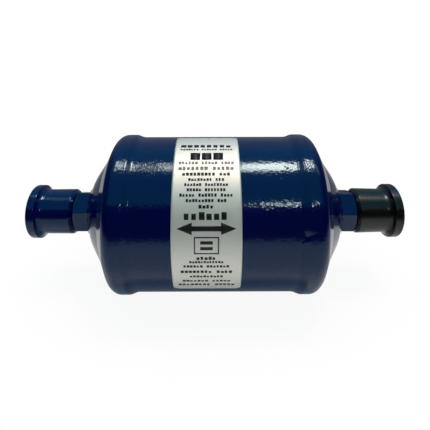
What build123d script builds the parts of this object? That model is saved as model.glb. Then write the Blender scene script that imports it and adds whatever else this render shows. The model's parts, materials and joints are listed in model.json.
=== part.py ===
from build123d import *
import os
from math import cos, radians, sin, sqrt, tan

# A two-way filter drier for a refrigerant line: a steel shell with two pressed heads and
# flare fittings, and inside it a desiccant block between two pairs of check valves.
# Millimetres. +X is the flow axis, the origin is the middle of the shell, +Z is up, and the
# label faces -Y and up. Right-hand pieces are made first; left-hand ones are mirrored.

# Shell
SHELL_R = 38.1  # 3 inch tube
SHELL_WALL = 1.6
SHELL_HALF = 43.8  # half the tube's length

# Pressed heads
HEAD_WALL = 1.25
SKIRT_X = 40.5  # where the skirt's edge stands on the shell
SKIRT_R = SHELL_R + HEAD_WALL
SHOULDER_R = 5.3  # outer radius of the shoulder's bend
SHOULDER_TILT = 63.5  # slope of the shoulder below its bend, degrees from the axis
KINK_X, KINK_R = 52.5, 28.5  # ring where the shoulder turns into the nose
KINK_BLEND_R = 1.6
NOSE_TILT = 55.7  # slope of the nose's cone, degrees from the axis
DOME_X = 57.5  # where the cone starts to round over
NOSE_X = 61.6  # flat end of the nose
NOSE_END_R = 12.0

# Seams
SEAM_X = 36.2  # toe of the girth seam on the shell
SEAM_TOE = 0.06
BEAD_FOOT_R = 11.0  # where the neck bead meets the hexagon
BEAD_BULGE = 0.1

# Flare fittings, from 3/4 inch hexagon bar
HEX_FLATS = 19.05
HEX_X0, HEX_X1 = 62.2, 70.3
HEX_RISE_RIGHT, HEX_RISE_LEFT = 49.0, 57.0  # how far a flat is turned up from -Y, degrees
HEX_FACING_BACK, HEX_FACING_FRONT = 0.5, 0.75  # how far each end's corners are turned down
SPIGOT_R, SPIGOT_X = 8.0, 58.8
BORE_R = 4.95
THREAD_R = 9.525  # 3/4-16 UNF, major radius
THREAD_X0, THREAD_X1 = 72.2, 85.4
THREAD_CHAMFER = 0.8
RELIEF_R = 8.5  # run-out groove behind the thread
FLARE_R0, FLARE_R1 = 8.3, 5.7  # 45 degree flare seat
FLARE_X = THREAD_X1 + FLARE_R0 - FLARE_R1

# Dust caps
CAP_X0, CAP_X1 = 70.6, 92.0
CAP_BORE_R = THREAD_R + 0.225
CAP_MOUTH_R, CAP_BARREL_R = 10.15, 11.2
CAP_MOUTH_LENGTH = 1.8
CAP_COVE_X0, CAP_COVE_X1 = 83.7, 88.0
CAP_FLANGE_R = 13.35
CAP_FLANGE_ROUND = 0.8
CAP_END_WALL = 2.1
CAP_TAPER_RIGHT, CAP_TAPER_LEFT = 0.35, 0.1  # how much each barrel narrows to its flange

# Label
LABEL_THICK = 0.15
LABEL_X0, LABEL_X1 = -18.6, 11.3
LABEL_SPAN = 131.0  # degrees round the shell
LABEL_RISE = 34.5  # its middle, degrees above -Y
LABEL_CORNER_R = 2.6

# Valve plates
PLATE_X0, PLATE_X1 = 42.1, 43.6  # inner and outer face
PLATE_R = SHELL_R - SHELL_WALL
PLATE_RIM_X = 38.6
PORT_COUNT, PORT_R, PORT_CIRCLE_R = 8, 3.2, 24.0

# Port bushings
PORT_BORE_R = 7.0
BUSHING_NECK_R = 10.0  # through the plate
BUSHING_BODY_R = 13.5  # the inlet ring slides on it
BUSHING_END_X = 36.3
SEAT_X, SEAT_R = 44.1, 8.6  # raised seat of the outlet disc

# Outlet check valves
VALVE_GAP = 0.05  # film between a closed valve and its seat
DISC_R, DISC_THICK = 9.6, 1.2
STEM_R, STEM_END_X = 1.5, 54.6
CAGE_FLANGE_R0, CAGE_FLANGE_R1, CAGE_SHEET = 11.4, 15.0, 0.9
CAGE_TOP_X = 52.4
CAGE_LEGS = 3
CAGE_LEG_WIDTH = 5.0
CAGE_HUB_R = 6.0
STEM_CLEARANCE = 0.08

# Inlet check valves
RING_R0, RING_R1, RING_THICK = 13.85, 29.5, 1.0
SPRING_SEAT_R, SPRING_SEAT_X0, SPRING_SEAT_X1 = 18.6, 36.4, 37.4

# Springs of square wire: width of the wire, coil radius, turns
OUTLET_SPRING = (0.6, 4.6, 3.5)
INLET_SPRING = (0.6, 16.4, 1.5)
CORE_SPRING = (1.6, 31.9, 1.5)

# Desiccant block
CORE_R, CORE_BORE_R = 33.4, 7.9
CORE_X0, CORE_X1 = -30.8, 34.8
CORE_CHAMFER = 1.5
SLEEVE_THICK = 0.9
SLEEVE_INSET = 2.0  # the block's bare ends
SCREEN_WALL = 0.5
SCREEN_SLOTS, SCREEN_SLOT_WIDTH, SCREEN_SLOT_LENGTH = 3, 2.0, 22.0
SCREEN_ROWS = 2
GASKET_R, GASKET_THICK = 15.0, 1.5
RETAINER_R, RETAINER_SHEET, RETAINER_LIP = 34.4, 1.2, 3.0
RETAINER_TUBE_X, RETAINER_CLEARANCE = 40.3, 0.1


def turned(outline):
    """A solid turned about the flow axis from a closed outline of (x, radius) points."""
    return revolve(make_face(outline), Axis.X)


def tube(x0, x1, r0, r1):
    """A plain ring or tube between two stations and two radii."""
    return turned(Polyline((x0, r0), (x1, r0), (x1, r1), (x0, r1), close=True))


def left(solid):
    return mirror(solid, Plane.YZ)


def across(x, radius, length):
    """A drill of the given radius along X, starting at station x."""
    return Pos(x, 0, 0) * Rot(0, 90, 0) * Cylinder(
        radius, length, align=(Align.CENTER, Align.CENTER, Align.MIN)
    )


def coil(x0, x1, spring):
    """A square-wire compression spring between stations x0 and x1."""
    wire, coil_r, turns = spring
    height = x1 - x0 - wire
    path = Helix(height / turns, height, coil_r)
    section = Plane(path @ 0, x_dir=(0, 0, 1), z_dir=path % 0) * Rectangle(wire, wire)
    return Pos(x0 + wire / 2, 0, 0) * Rot(0, 90, 0) * sweep(section, path, is_frenet=True)


# Shell, heads and seams


def shell_tube():
    return tube(-SHELL_HALF, SHELL_HALF, SHELL_R - SHELL_WALL, SHELL_R)


def head_outline():
    """The outer surface of a head from the skirt's edge to the fitting's hole."""
    tilt = radians(SHOULDER_TILT)
    corner_x = KINK_X - (SKIRT_R - KINK_R) / tan(tilt)
    bend = SHOULDER_R * tan(tilt / 2)
    bend_end = (corner_x + bend * cos(tilt), SKIRT_R - bend * sin(tilt))
    dome_r = KINK_R - (DOME_X - KINK_X) * tan(radians(NOSE_TILT))
    nose_direction = (cos(radians(NOSE_TILT)), -sin(radians(NOSE_TILT)))
    skirt = Line((SKIRT_X, SKIRT_R), (corner_x - bend, SKIRT_R))
    shoulder = TangentArc(skirt @ 1, bend_end, tangent=(1, 0))
    slope = Line(bend_end, (KINK_X, KINK_R))
    cone = Line((KINK_X, KINK_R), (DOME_X, dome_r))
    dome = TangentArc((DOME_X, dome_r), (NOSE_X, NOSE_END_R), tangent=nose_direction)
    flat = Line((NOSE_X, NOSE_END_R), (NOSE_X, SPIGOT_R))
    return skirt + shoulder + slope + cone + dome + flat


def end_head():
    path = Wire(head_outline().edges())
    kink = [v for v in path.vertices() if abs(v.X - KINK_X) < 1e-3]
    path = path.fillet_2d(KINK_BLEND_R, kink)
    return turned(path.offset_2d(HEAD_WALL, side=Side.RIGHT, closed=True))


def girth_weld():
    """The seam's section rises from the shell to the skirt in a flat S."""
    toe = (SEAM_X, SHELL_R + SEAM_TOE)
    crest = (SKIRT_X, SKIRT_R)
    rise = Spline(toe, crest, tangents=[(1, 0), (1, 0)])
    base = Polyline(crest, (SKIRT_X, SHELL_R), (SEAM_X, SHELL_R), toe)
    return turned(rise + base)


def neck_weld():
    """A round bead between the nose and the hexagon."""
    nose = (NOSE_X, NOSE_END_R)
    hexagon = (HEX_X0, BEAD_FOOT_R)
    middle = ((NOSE_X + HEX_X0) / 2 + BEAD_BULGE, (NOSE_END_R + BEAD_FOOT_R) / 2 + BEAD_BULGE)
    crest = ThreePointArc(nose, middle, hexagon)
    base = Polyline(hexagon, (HEX_X0, SPIGOT_R), (NOSE_X, SPIGOT_R), nose)
    return turned(crest + base)


# Fittings, caps and label


def flare_fitting(rise):
    """Turned from hexagon bar: a spigot, wrench flats, a run-out groove, a thread and a flare seat."""
    spigot = [(SPIGOT_X, BORE_R), (SPIGOT_X, SPIGOT_R), (HEX_X0, SPIGOT_R)]
    relief = [(HEX_X1, RELIEF_R), (THREAD_X0 - THREAD_CHAMFER, RELIEF_R), (THREAD_X0, THREAD_R)]
    thread = [(THREAD_X1 - THREAD_CHAMFER, THREAD_R), (THREAD_X1, FLARE_R0)]
    seat = [(FLARE_X, FLARE_R1), (FLARE_X, BORE_R)]
    turned_parts = turned(Polyline(*spigot, *relief, *thread, *seat, close=True))
    bar = RegularPolygon(HEX_FLATS / 2, 6, major_radius=False)
    prism = Pos(HEX_X0, 0, 0) * Rot(-rise, 0, 0) * Rot(0, 90, 0) * extrude(bar, HEX_X1 - HEX_X0)
    corner_r = HEX_FLATS / sqrt(3)
    facing = [
        (HEX_X0, 0),
        (HEX_X0, corner_r - HEX_FACING_BACK),
        (HEX_X0 + HEX_FACING_BACK, corner_r),
        (HEX_X1 - HEX_FACING_FRONT, corner_r),
        (HEX_X1, HEX_FLATS / 2),
        (HEX_X1, 0),
    ]
    hexagon = prism & turned(Polyline(*facing, close=True))
    return turned_parts + hexagon - across(SPIGOT_X - 1, BORE_R, FLARE_X)


def dust_cap(taper):
    """A push-on cap: a bevelled mouth, a barrel, a cove and a thick flange."""
    round_r = CAP_FLANGE_ROUND
    mouth = (CAP_X0, CAP_BORE_R)
    mouth_rim = (CAP_X0, CAP_MOUTH_R)
    barrel_start = (CAP_X0 + CAP_MOUTH_LENGTH, CAP_BARREL_R)
    barrel_end = (CAP_COVE_X0, CAP_BARREL_R - taper)
    flange_foot = (CAP_COVE_X1, CAP_FLANGE_R - round_r)
    rim_start = (CAP_COVE_X1 + round_r, CAP_FLANGE_R)
    rim_end = (CAP_X1 - round_r, CAP_FLANGE_R)
    face_edge = (CAP_X1, CAP_FLANGE_R - round_r)
    barrel = Polyline(mouth, mouth_rim, barrel_start, barrel_end)
    cove = TangentArc(barrel_end, flange_foot, tangent=(1, 0))
    inner_round = RadiusArc(flange_foot, rim_start, round_r)
    rim = Line(rim_start, rim_end)
    outer_round = RadiusArc(rim_end, face_edge, round_r)
    inside_x = CAP_X1 - CAP_END_WALL
    inside = Polyline(face_edge, (CAP_X1, 0), (inside_x, 0), (inside_x, CAP_BORE_R), mouth)
    return turned(barrel + cove + inner_round + rim + outer_round + inside)


def label():
    """A thin wrap on the shell with rounded corners, its middle turned up from -Y."""
    strip = Polyline(
        (LABEL_X0, SHELL_R),
        (LABEL_X1, SHELL_R),
        (LABEL_X1, SHELL_R + LABEL_THICK),
        (LABEL_X0, SHELL_R + LABEL_THICK),
        close=True,
    )
    wrap = revolve(make_face(strip), Axis.X, revolution_arc=LABEL_SPAN)
    corners = [e for e in wrap.edges() if e.geom_type == GeomType.LINE and e.length < 2 * LABEL_THICK]
    wrap = fillet(corners, LABEL_CORNER_R)
    # The strip starts at +Y and turns towards +Z.
    return Rot(180 - LABEL_RISE - LABEL_SPAN / 2, 0, 0) * wrap


# Valve plates and bushings


def valve_plate():
    """A pressed cup with a rim along the shell, a central hole and a ring of inlet ports."""
    sheet = PLATE_X1 - PLATE_X0
    cup = turned(
        Polyline(
            (PLATE_X1, BUSHING_NECK_R),
            (PLATE_X1, PLATE_R - sheet),
            (PLATE_X1 - sheet, PLATE_R),
            (PLATE_RIM_X, PLATE_R),
            (PLATE_RIM_X, PLATE_R - sheet),
            (PLATE_X0, PLATE_R - sheet),
            (PLATE_X0, BUSHING_NECK_R),
            close=True,
        )
    )
    port = Pos(0, PORT_CIRCLE_R, 0) * across(PLATE_X0 - 1, PORT_R, 2 * sheet + 1)
    for index in range(PORT_COUNT):
        cup -= Rot(index * 360 / PORT_COUNT, 0, 0) * port
    return cup


def port_bushing():
    """Turned: a shoulder inside the plate, a neck through it and a raised valve seat."""
    return turned(
        Polyline(
            (BUSHING_END_X, PORT_BORE_R),
            (BUSHING_END_X, BUSHING_BODY_R),
            (PLATE_X0, BUSHING_BODY_R),
            (PLATE_X0, BUSHING_NECK_R),
            (PLATE_X1, BUSHING_NECK_R),
            (SEAT_X, SEAT_R),
            (SEAT_X, PORT_BORE_R),
            close=True,
        )
    )


# Check valves


def outlet_disc():
    face_x = SEAT_X + VALVE_GAP
    back_x = face_x + DISC_THICK
    return turned(
        Polyline(
            (face_x, 0), (face_x, DISC_R), (back_x, DISC_R), (back_x, 2 * STEM_R),
            (back_x + STEM_R, STEM_R), (STEM_END_X, STEM_R), (STEM_END_X, 0), close=True,
        )
    )


def outlet_cage():
    """A foot ring on the plate, three legs and a top that guides the disc's stem."""
    foot = tube(PLATE_X1, PLATE_X1 + CAGE_SHEET, CAGE_FLANGE_R0, CAGE_FLANGE_R1)
    bell = tube(PLATE_X1, CAGE_TOP_X + CAGE_SHEET, CAGE_FLANGE_R0, CAGE_FLANGE_R0 + CAGE_SHEET)
    top = tube(CAGE_TOP_X, CAGE_TOP_X + CAGE_SHEET, STEM_R + STEM_CLEARANCE, CAGE_FLANGE_R0)
    spokes = Part()
    for index in range(CAGE_LEGS):
        spoke = Pos(CAGE_TOP_X, 0, 0) * Box(
            4 * CAGE_TOP_X, CAGE_LEG_WIDTH, CAGE_FLANGE_R1, align=(Align.CENTER, Align.CENTER, Align.MIN)
        )
        spokes += Rot(index * 360 / CAGE_LEGS, 0, 0) * spoke
    hub = across(CAGE_TOP_X - CAGE_SHEET, CAGE_HUB_R, 3 * CAGE_SHEET)
    return foot + (bell & spokes) + (top & (spokes + hub))


def inlet_ring():
    face_x = PLATE_X0 - VALVE_GAP
    return tube(face_x - RING_THICK, face_x, RING_R0, RING_R1)


def spring_seat():
    """A retaining washer pressed on the bushing's end."""
    return tube(SPRING_SEAT_X0, SPRING_SEAT_X1, BUSHING_BODY_R, SPRING_SEAT_R)


def outlet_spring():
    return coil(SEAT_X + VALVE_GAP + DISC_THICK, CAGE_TOP_X, OUTLET_SPRING)


def inlet_spring():
    return coil(SPRING_SEAT_X1, PLATE_X0 - VALVE_GAP - RING_THICK, INLET_SPRING)


# Desiccant block and what seats it


def desiccant_core():
    block = tube(CORE_X0, CORE_X1, CORE_BORE_R, CORE_R)
    rims = block.edges().filter_by(GeomType.CIRCLE).sort_by(SortBy.RADIUS)[-2:]
    return chamfer(rims, CORE_CHAMFER)


def filter_sleeve():
    return tube(CORE_X0 + SLEEVE_INSET, CORE_X1 - SLEEVE_INSET, CORE_R, CORE_R + SLEEVE_THICK)


def inner_screen():
    """A slotted tube that lines the block's bore; each cut goes through both walls."""
    screen = tube(CORE_X0, CORE_X1, CORE_BORE_R - SCREEN_WALL, CORE_BORE_R)
    pitch = (CORE_X1 - CORE_X0) / SCREEN_ROWS
    for row in range(SCREEN_ROWS):
        x = CORE_X0 + (row + 0.5) * pitch
        for index in range(SCREEN_SLOTS):
            cut = Box(SCREEN_SLOT_LENGTH, SCREEN_SLOT_WIDTH, 3 * CORE_BORE_R)
            screen -= Pos(x, 0, 0) * Rot(index * 180 / SCREEN_SLOTS, 0, 0) * cut
    return screen


def core_gasket(x0):
    return tube(x0, x0 + GASKET_THICK, PORT_BORE_R, GASKET_R)


def core_retainer():
    """A pressed dish whose tube slides in the left bushing and whose face carries the block."""
    face_x = CORE_X0 - GASKET_THICK
    tube_r = PORT_BORE_R - RETAINER_CLEARANCE
    return turned(
        Polyline(
            (face_x, tube_r - RETAINER_SHEET),
            (face_x, RETAINER_R),
            (face_x - RETAINER_LIP, RETAINER_R),
            (face_x - RETAINER_LIP, RETAINER_R - RETAINER_SHEET),
            (face_x - RETAINER_SHEET, RETAINER_R - RETAINER_SHEET),
            (face_x - RETAINER_SHEET, tube_r),
            (-RETAINER_TUBE_X, tube_r),
            (-RETAINER_TUBE_X, tube_r - RETAINER_SHEET),
            close=True,
        )
    )


def core_spring():
    return coil(-PLATE_X0, CORE_X0 - GASKET_THICK - RETAINER_SHEET, CORE_SPRING)


head = end_head()

pieces = {
    "shell_tube": shell_tube(),
    "end_head_right": head,
    "end_head_left": left(head),
    "girth_weld_right": girth_weld(),
    "girth_weld_left": left(girth_weld()),
    "neck_weld_right": neck_weld(),
    "neck_weld_left": left(neck_weld()),
    "flare_fitting_right": flare_fitting(HEX_RISE_RIGHT),
    "flare_fitting_left": left(flare_fitting(HEX_RISE_LEFT)),
    "dust_cap_right": dust_cap(CAP_TAPER_RIGHT),
    "dust_cap_left": left(dust_cap(CAP_TAPER_LEFT)),
    "label": label(),
    "valve_plate_right": valve_plate(),
    "valve_plate_left": left(valve_plate()),
    "port_bushing_right": port_bushing(),
    "port_bushing_left": left(port_bushing()),
    "outlet_disc_right": outlet_disc(),
    "outlet_disc_left": left(outlet_disc()),
    "outlet_cage_right": outlet_cage(),
    "outlet_cage_left": left(outlet_cage()),
    "outlet_spring_right": outlet_spring(),
    "outlet_spring_left": left(outlet_spring()),
    "inlet_ring_right": inlet_ring(),
    "inlet_ring_left": left(inlet_ring()),
    "inlet_spring_right": inlet_spring(),
    "inlet_spring_left": left(inlet_spring()),
    "spring_seat_right": spring_seat(),
    "spring_seat_left": left(spring_seat()),
    "desiccant_core": desiccant_core(),
    "filter_sleeve": filter_sleeve(),
    "inner_screen": inner_screen(),
    "core_gasket_right": core_gasket(CORE_X1),
    "core_gasket_left": core_gasket(CORE_X0 - GASKET_THICK),
    "core_retainer": core_retainer(),
    "core_spring": core_spring(),
}

os.makedirs("parts", exist_ok=True)
for name, solid in pieces.items():
    export_step(solid, f"parts/{name}.step")
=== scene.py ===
"""Looks and stage of an in-line filter drier: gloss enamel on steel, push-on caps and a label."""

import json
from math import ceil, cos, pi, radians, sin, sqrt, tan

import bpy
import numpy as np
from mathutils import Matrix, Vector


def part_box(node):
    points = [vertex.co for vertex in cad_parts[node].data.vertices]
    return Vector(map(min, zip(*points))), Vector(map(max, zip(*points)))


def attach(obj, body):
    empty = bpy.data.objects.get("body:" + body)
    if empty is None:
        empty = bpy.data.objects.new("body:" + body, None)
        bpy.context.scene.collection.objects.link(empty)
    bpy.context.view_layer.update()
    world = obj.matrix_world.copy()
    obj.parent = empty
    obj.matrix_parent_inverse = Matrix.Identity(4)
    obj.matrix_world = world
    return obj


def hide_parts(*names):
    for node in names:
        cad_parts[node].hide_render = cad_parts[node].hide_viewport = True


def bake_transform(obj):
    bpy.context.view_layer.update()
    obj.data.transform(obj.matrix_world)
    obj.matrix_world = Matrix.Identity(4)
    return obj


bl_info = {
    "name": "Filter drier looks",
    "version": (1, 0, 0),
    "blender": (4, 5, 0),
    "location": "3D View > Sidebar > Drier",
    "description": "Builds the painted skins, caps, label, springs and stage of a filter drier",
    "category": "Object",
}

# The frame is in metres: +X is the flow axis, the label faces -Y and up, and angles round the
# shell run from -Y (0 degrees) over the top (90) to +Y (180).
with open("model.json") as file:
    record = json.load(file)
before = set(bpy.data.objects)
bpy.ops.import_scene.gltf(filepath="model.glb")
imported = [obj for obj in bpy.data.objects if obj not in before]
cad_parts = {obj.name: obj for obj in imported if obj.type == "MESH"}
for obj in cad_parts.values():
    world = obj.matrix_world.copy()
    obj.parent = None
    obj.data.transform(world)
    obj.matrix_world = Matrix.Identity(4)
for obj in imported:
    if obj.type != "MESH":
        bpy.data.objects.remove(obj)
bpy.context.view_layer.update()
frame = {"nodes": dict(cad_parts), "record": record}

MM = 0.001
SIDES = {"left": -1, "right": 1}  # and which way along X each lies
BODY = "drier"
SHELL_RING, FITTING_RING = 360, 240  # points round the shell and heads, and round smaller pieces
ONE_POINT = 1e-9  # metres within which points are one


def linear(code):
    """A colour written as sRGB hex, as linear red, green and blue."""
    srgb = [int(code[i : i + 2], 16) / 255 for i in (1, 3, 5)]
    return tuple(v / 12.92 if v <= 0.04045 else ((v + 0.055) / 1.055) ** 2.4 for v in srgb)


def high(node, axis):
    """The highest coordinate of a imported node's box, in millimetres."""
    return round(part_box(node)[1][axis] / MM, 3)


def low(node, axis):
    """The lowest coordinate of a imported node's box, in millimetres."""
    return round(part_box(node)[0][axis] / MM, 3)


def number(name, value, description, **settings):
    """A property of one number, as the user sees it in the panel."""
    return bpy.props.FloatProperty(
        name=name, description=description, default=value, **settings
    )


def length(name, millimetres, description):
    """A property given in millimetres and kept in metres."""
    return number(name, millimetres * MM, description, unit="LENGTH", precision=5)


def angle(name, turn, description):
    """A property given in degrees and kept in radians."""
    return number(name, radians(turn), description, subtype="ANGLE")


def colour(name, code, description):
    """A property given as sRGB hex and kept as a linear colour."""
    return bpy.props.FloatVectorProperty(
        name=name, description=description, default=linear(code), subtype="COLOR", min=0, max=1
    )


# Sizes and colours


class DrierShell(bpy.types.PropertyGroup):
    radius: length("Shell radius", high("shell_tube", 2), "Outer radius of the shell tube")
    wall: length("Shell wall", 1.6, "Thickness of the shell's steel")
    half: length("Half length", high("shell_tube", 0), "Half the length of the shell tube")
    seam_x: length("Seam toe", low("girth_weld_right", 0), "Station of the girth seam's toe")
    seam_toe: length("Toe height", 0.06, "Height of the seam's toe over the shell")
    skirt_x: length("Skirt edge", high("girth_weld_right", 0), "Station of the head's skirt edge")
    skirt_r: length("Skirt radius", high("end_head_right", 2), "Outer radius of the head's skirt")
    head_wall: length("Head wall", 1.25, "Thickness of the pressed heads")
    shoulder_round: length("Shoulder round", 5.3, "Outer radius of the shoulder's bend")
    shoulder_slope: angle("Shoulder slope", 63.5, "Slope of the shoulder, from the axis")
    kink_x: length("Kink station", 52.5, "Station of the ring where the shoulder meets the nose")
    kink_r: length("Kink radius", 28.5, "Radius of that ring")
    kink_round: length("Kink round", 1.6, "Radius that softens the ring")
    nose_slope: angle("Nose slope", 55.7, "Slope of the nose's cone, from the axis")
    dome_x: length("Dome station", 57.5, "Station where the cone starts to round over")
    nose_x: length("Nose end", high("end_head_right", 0), "Station of the nose's end")
    nose_r: length("Nose end radius", high("neck_weld_right", 2), "Radius of the nose's end")


class DrierFitting(bpy.types.PropertyGroup):
    spigot_x: length("Spigot end", low("flare_fitting_right", 0), "Station of the inner end")
    spigot_r: length("Spigot radius", 8.0, "Radius of the spigot in the head")
    bore_r: length("Bore radius", 4.95, "Radius of the bore")
    bead_foot_r: length("Bead foot", 11.0, "Radius where the neck bead meets the hexagon")
    bead_bulge: length("Bead bulge", 0.1, "How far the neck bead swells out of a plain bevel")
    hex_x0: length("Hexagon start", 62.2, "Station of the hexagon's inner face")
    hex_x1: length("Hexagon end", 70.3, "Station of the hexagon's outer face")
    hex_flats: length("Across flats", 19.05, "Width across the wrench flats")
    hex_rise_right: angle("Right flat", 49, "How far a flat of the right hexagon is turned up")
    hex_rise_left: angle("Left flat", 57, "How far a flat of the left hexagon is turned up")
    thread_x0: length("Thread start", 72.2, "Station where the thread starts")
    thread_x1: length("Thread end", 85.4, "Station where the thread ends")
    thread_r: length("Thread radius", 9.525, "Major radius of the thread")
    pitch: length("Pitch", 25.4 / 16, "Advance of the thread in one turn, 16 turns an inch")
    relief_r: length("Relief radius", 8.5, "Radius of the run-out groove")
    flare_r0: length("Flare rim", 8.3, "Radius of the flare seat's rim")
    flare_r1: length("Flare mouth", 5.7, "Radius of the flare seat's mouth")
    flare_x: length("Flare end", high("flare_fitting_right", 0), "Station of the open end")


class DrierCap(bpy.types.PropertyGroup):
    x0: length("Mouth", low("dust_cap_right", 0), "Station of the cap's mouth")
    x1: length("End face", high("dust_cap_right", 0), "Station of the cap's closed end")
    bore_r: length("Bore radius", 9.75, "Radius of the cap's bore")
    mouth_r: length("Mouth radius", 10.15, "Outer radius of the bevelled mouth")
    mouth_length: length("Bevel length", 1.3, "Length of the mouth's bevel")
    barrel_r: length("Barrel radius", 11.2, "Radius of the barrel behind the bevel")
    taper_right: length("Right taper", 0.35, "How much the right barrel narrows to its flange")
    taper_left: length("Left taper", 0.1, "How much the left barrel narrows to its flange")
    cove_x0: length("Cove start", 84.8, "Station where the cove leaves the barrel")
    cove_x1: length("Cove end", 87.5, "Station where the cove meets the flange")
    flange_r: length("Flange radius", high("dust_cap_right", 2), "Radius of the thick flange")
    flange_round: length("Flange round", 0.8, "Radius of the flange's edges")
    end_wall: length("End wall", 2.1, "Thickness of the closed end")


class DrierSprings(bpy.types.PropertyGroup):
    wire: length("Spring wire", 0.6, "Diameter of the valve springs' wire")
    outlet_coil_r: length("Outlet coil", 4.6, "Radius of the outlet springs, to the wire's middle")
    outlet_turns: number("Outlet turns", 3.5, "Turns of an outlet spring")
    inlet_coil_r: length("Inlet coil", 16.4, "Radius of the inlet springs, to the wire's middle")
    inlet_turns: number("Inlet turns", 1.5, "Turns of an inlet spring")


class DrierLabel(bpy.types.PropertyGroup):
    x0: length("Left edge", low("label", 0), "Station of the label's left edge")
    x1: length("Right edge", high("label", 0), "Station of the label's right edge")
    thick: length("Film", 0.15, "Thickness of the film")
    ink: length("Ink", 0.02, "How far the print stands over the film")
    span: angle("Wrap", 131, "How far the label reaches round the shell")
    rise: angle("Rise", 34.5, "Where the label's middle is, up from -Y")
    corner: length("Corner round", 2.6, "Radius of the label's corners")


class DrierFinish(bpy.types.PropertyGroup):
    enamel: colour("Enamel", "#00084A", "Navy body of the gloss enamel")
    enamel_sheen: colour("Enamel sheen", "#BCEFFF", "Tint of what the enamel mirrors head-on")
    black: colour("Cap plastic", "#060807", "Black polyethylene of the right cap")
    overspray: colour("Overspray", "#1B2459", "Enamel mist on the right cap's flange")
    film: colour("Label film", "#EEF0E8", "Silvery label film")
    ink: colour("Ink", "#0B0B0C", "Black print")
    grey_ink: colour("Grey ink", "#8F918F", "Faint print")
    zinc: colour("Zinc", "#B9BBBA", "Zinc plated sheet")
    spring: colour("Spring wire", "#A5A6A8", "Bright spring wire")
    brass: colour("Brass", "#C9A45B", "Turned brass")
    nylon: colour("Nylon", "#DAD5C4", "Natural nylon of the valve discs")
    desiccant: colour("Desiccant", "#C7B79D", "Bonded desiccant beads")
    felt: colour("Felt", "#E1DED4", "White filter felt")
    rubber: colour("Rubber", "#1D1D1E", "Black nitrile rubber")
    floor: colour("Floor", "#EEEEEE", "Pale floor")


class DrierStage(bpy.types.PropertyGroup):
    eye_distance: length("Eye distance", 196.4, "Distance from the flow axis to the camera")
    eye_rise: angle("Eye rise", 32, "How far the camera stands up from -Y")
    eye_x: length("Eye station", -1.07, "Station of the camera along the flow axis")
    eye_pitch: angle("Eye pitch", 18, "How far the camera looks down")
    eye_roll: angle("Eye roll", -0.18, "How far the camera leans to its left")
    eye_lens: number("Lens", 30.75, "Focal length for a 36 mm sensor")
    shift_x: number("Shift across", 0.0063, "Sideways shift of the frame")
    shift_y: number("Shift up", -0.2235, "Upward shift of the frame")
    floor_z: length("Floor height", -39.4, "Height of the floor, just under the skirts")
    floor_reach: length("Floor reach", 700, "How far the floor goes on every side")
    # The floor's pool of light is painted into its colour: full up to the first distance, dark by
    # the second.
    painted_pool_r0: length("Pool edge", 100, "Distance to which the pool of light is full")
    painted_pool_r1: length("Pool end", 400, "Distance at which the floor has faded to dark")
    painted_pool_y: length("Pool middle", -45, "Where the pool's middle lies along Y, with -Y in front")
    lamp: number("Strip lamp", 34.0, "Radiance of the overhead strip lamp")
    lamp_tint: colour("Lamp tint", "#FFDCCB", "Colour of the strip lamp")
    glint: number("Side glint", 95.0, "Radiance of the thin window edge low on the right")


# Outlines and surfaces


def rounded_outline(corners, closed=True, step=radians(9)):
    """Straight runs between (x, r, round) corners, each cut by an arc tangent to both of its runs.

    The arc of radius q at a corner that turns by t starts q tan(t/2) before it, and its centre
    stands q / cos(t/2) from the corner, on the bisector.
    """
    corners = np.array(corners, float)
    spots, rounds = corners[:, :2], corners[:, 2]
    stretches = []
    for index, (corner, q) in enumerate(zip(spots, rounds)):
        ends = not closed and index in (0, len(spots) - 1)
        if q == 0 or ends:
            stretches.append(corner[None])
            continue
        back = spots[index - 1] - corner
        ahead = spots[(index + 1) % len(spots)] - corner
        back = back / np.linalg.norm(back)
        ahead = ahead / np.linalg.norm(ahead)
        turn = pi - np.arccos(np.clip(back @ ahead, -1, 1))
        middle = back + ahead
        centre = corner + middle / np.linalg.norm(middle) * q / cos(turn / 2)
        first = corner + back * q * tan(turn / 2) - centre
        side = np.sign(back[1] * ahead[0] - back[0] * ahead[1])
        start = np.arctan2(first[1], first[0])
        angles = start + side * np.linspace(0, turn, ceil(turn / step) + 1)
        stretches.append(centre + q * np.stack([np.cos(angles), np.sin(angles)], 1))
    return np.concatenate(stretches)


def divided(outline, longest, closed=False):
    """The same outline with points added on each run that is longer than `longest`."""
    if closed:
        outline = np.concatenate([outline, outline[:1]])
    runs = np.linalg.norm(np.diff(outline, axis=0), axis=1)
    travel = np.concatenate([[0], np.cumsum(runs)])
    pieces = [
        np.linspace(a, b, ceil((b - a) / longest) + 1)[:-1]
        for a, b in zip(travel, travel[1:])
        if b > a
    ]
    stations = np.concatenate(pieces + ([] if closed else [travel[-1:]]))
    return np.stack([np.interp(stations, travel, outline[:, axis]) for axis in (0, 1)], 1)


def inside(outline, wall):
    """The outline moved in by the wall along its own normals, turned back to front."""
    along = np.gradient(outline, axis=0)
    along /= np.linalg.norm(along, axis=1)[:, None]
    normal = np.stack([along[:, 1], -along[:, 0]], 1)
    return (outline + normal * wall)[::-1]


def new_mesh(name, points, faces):
    """A mesh of listed points and faces."""
    mesh = bpy.data.meshes.new(name)
    mesh.from_pydata(points, [], faces)
    return mesh


def cells(index):
    """The four corners of every cell of a grid of point numbers, one row for each cell."""
    corners = [index[:-1, :-1], index[:-1, 1:], index[1:, 1:], index[1:, :-1]]
    return np.stack(corners, -1).reshape(-1, 4)


def turned(x, r, a):
    """The points at station x, radius r and angle a round the axis: (x, -r cos a, r sin a)."""
    return np.stack([x, -r * np.cos(a), r * np.sin(a)], -1)


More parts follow.
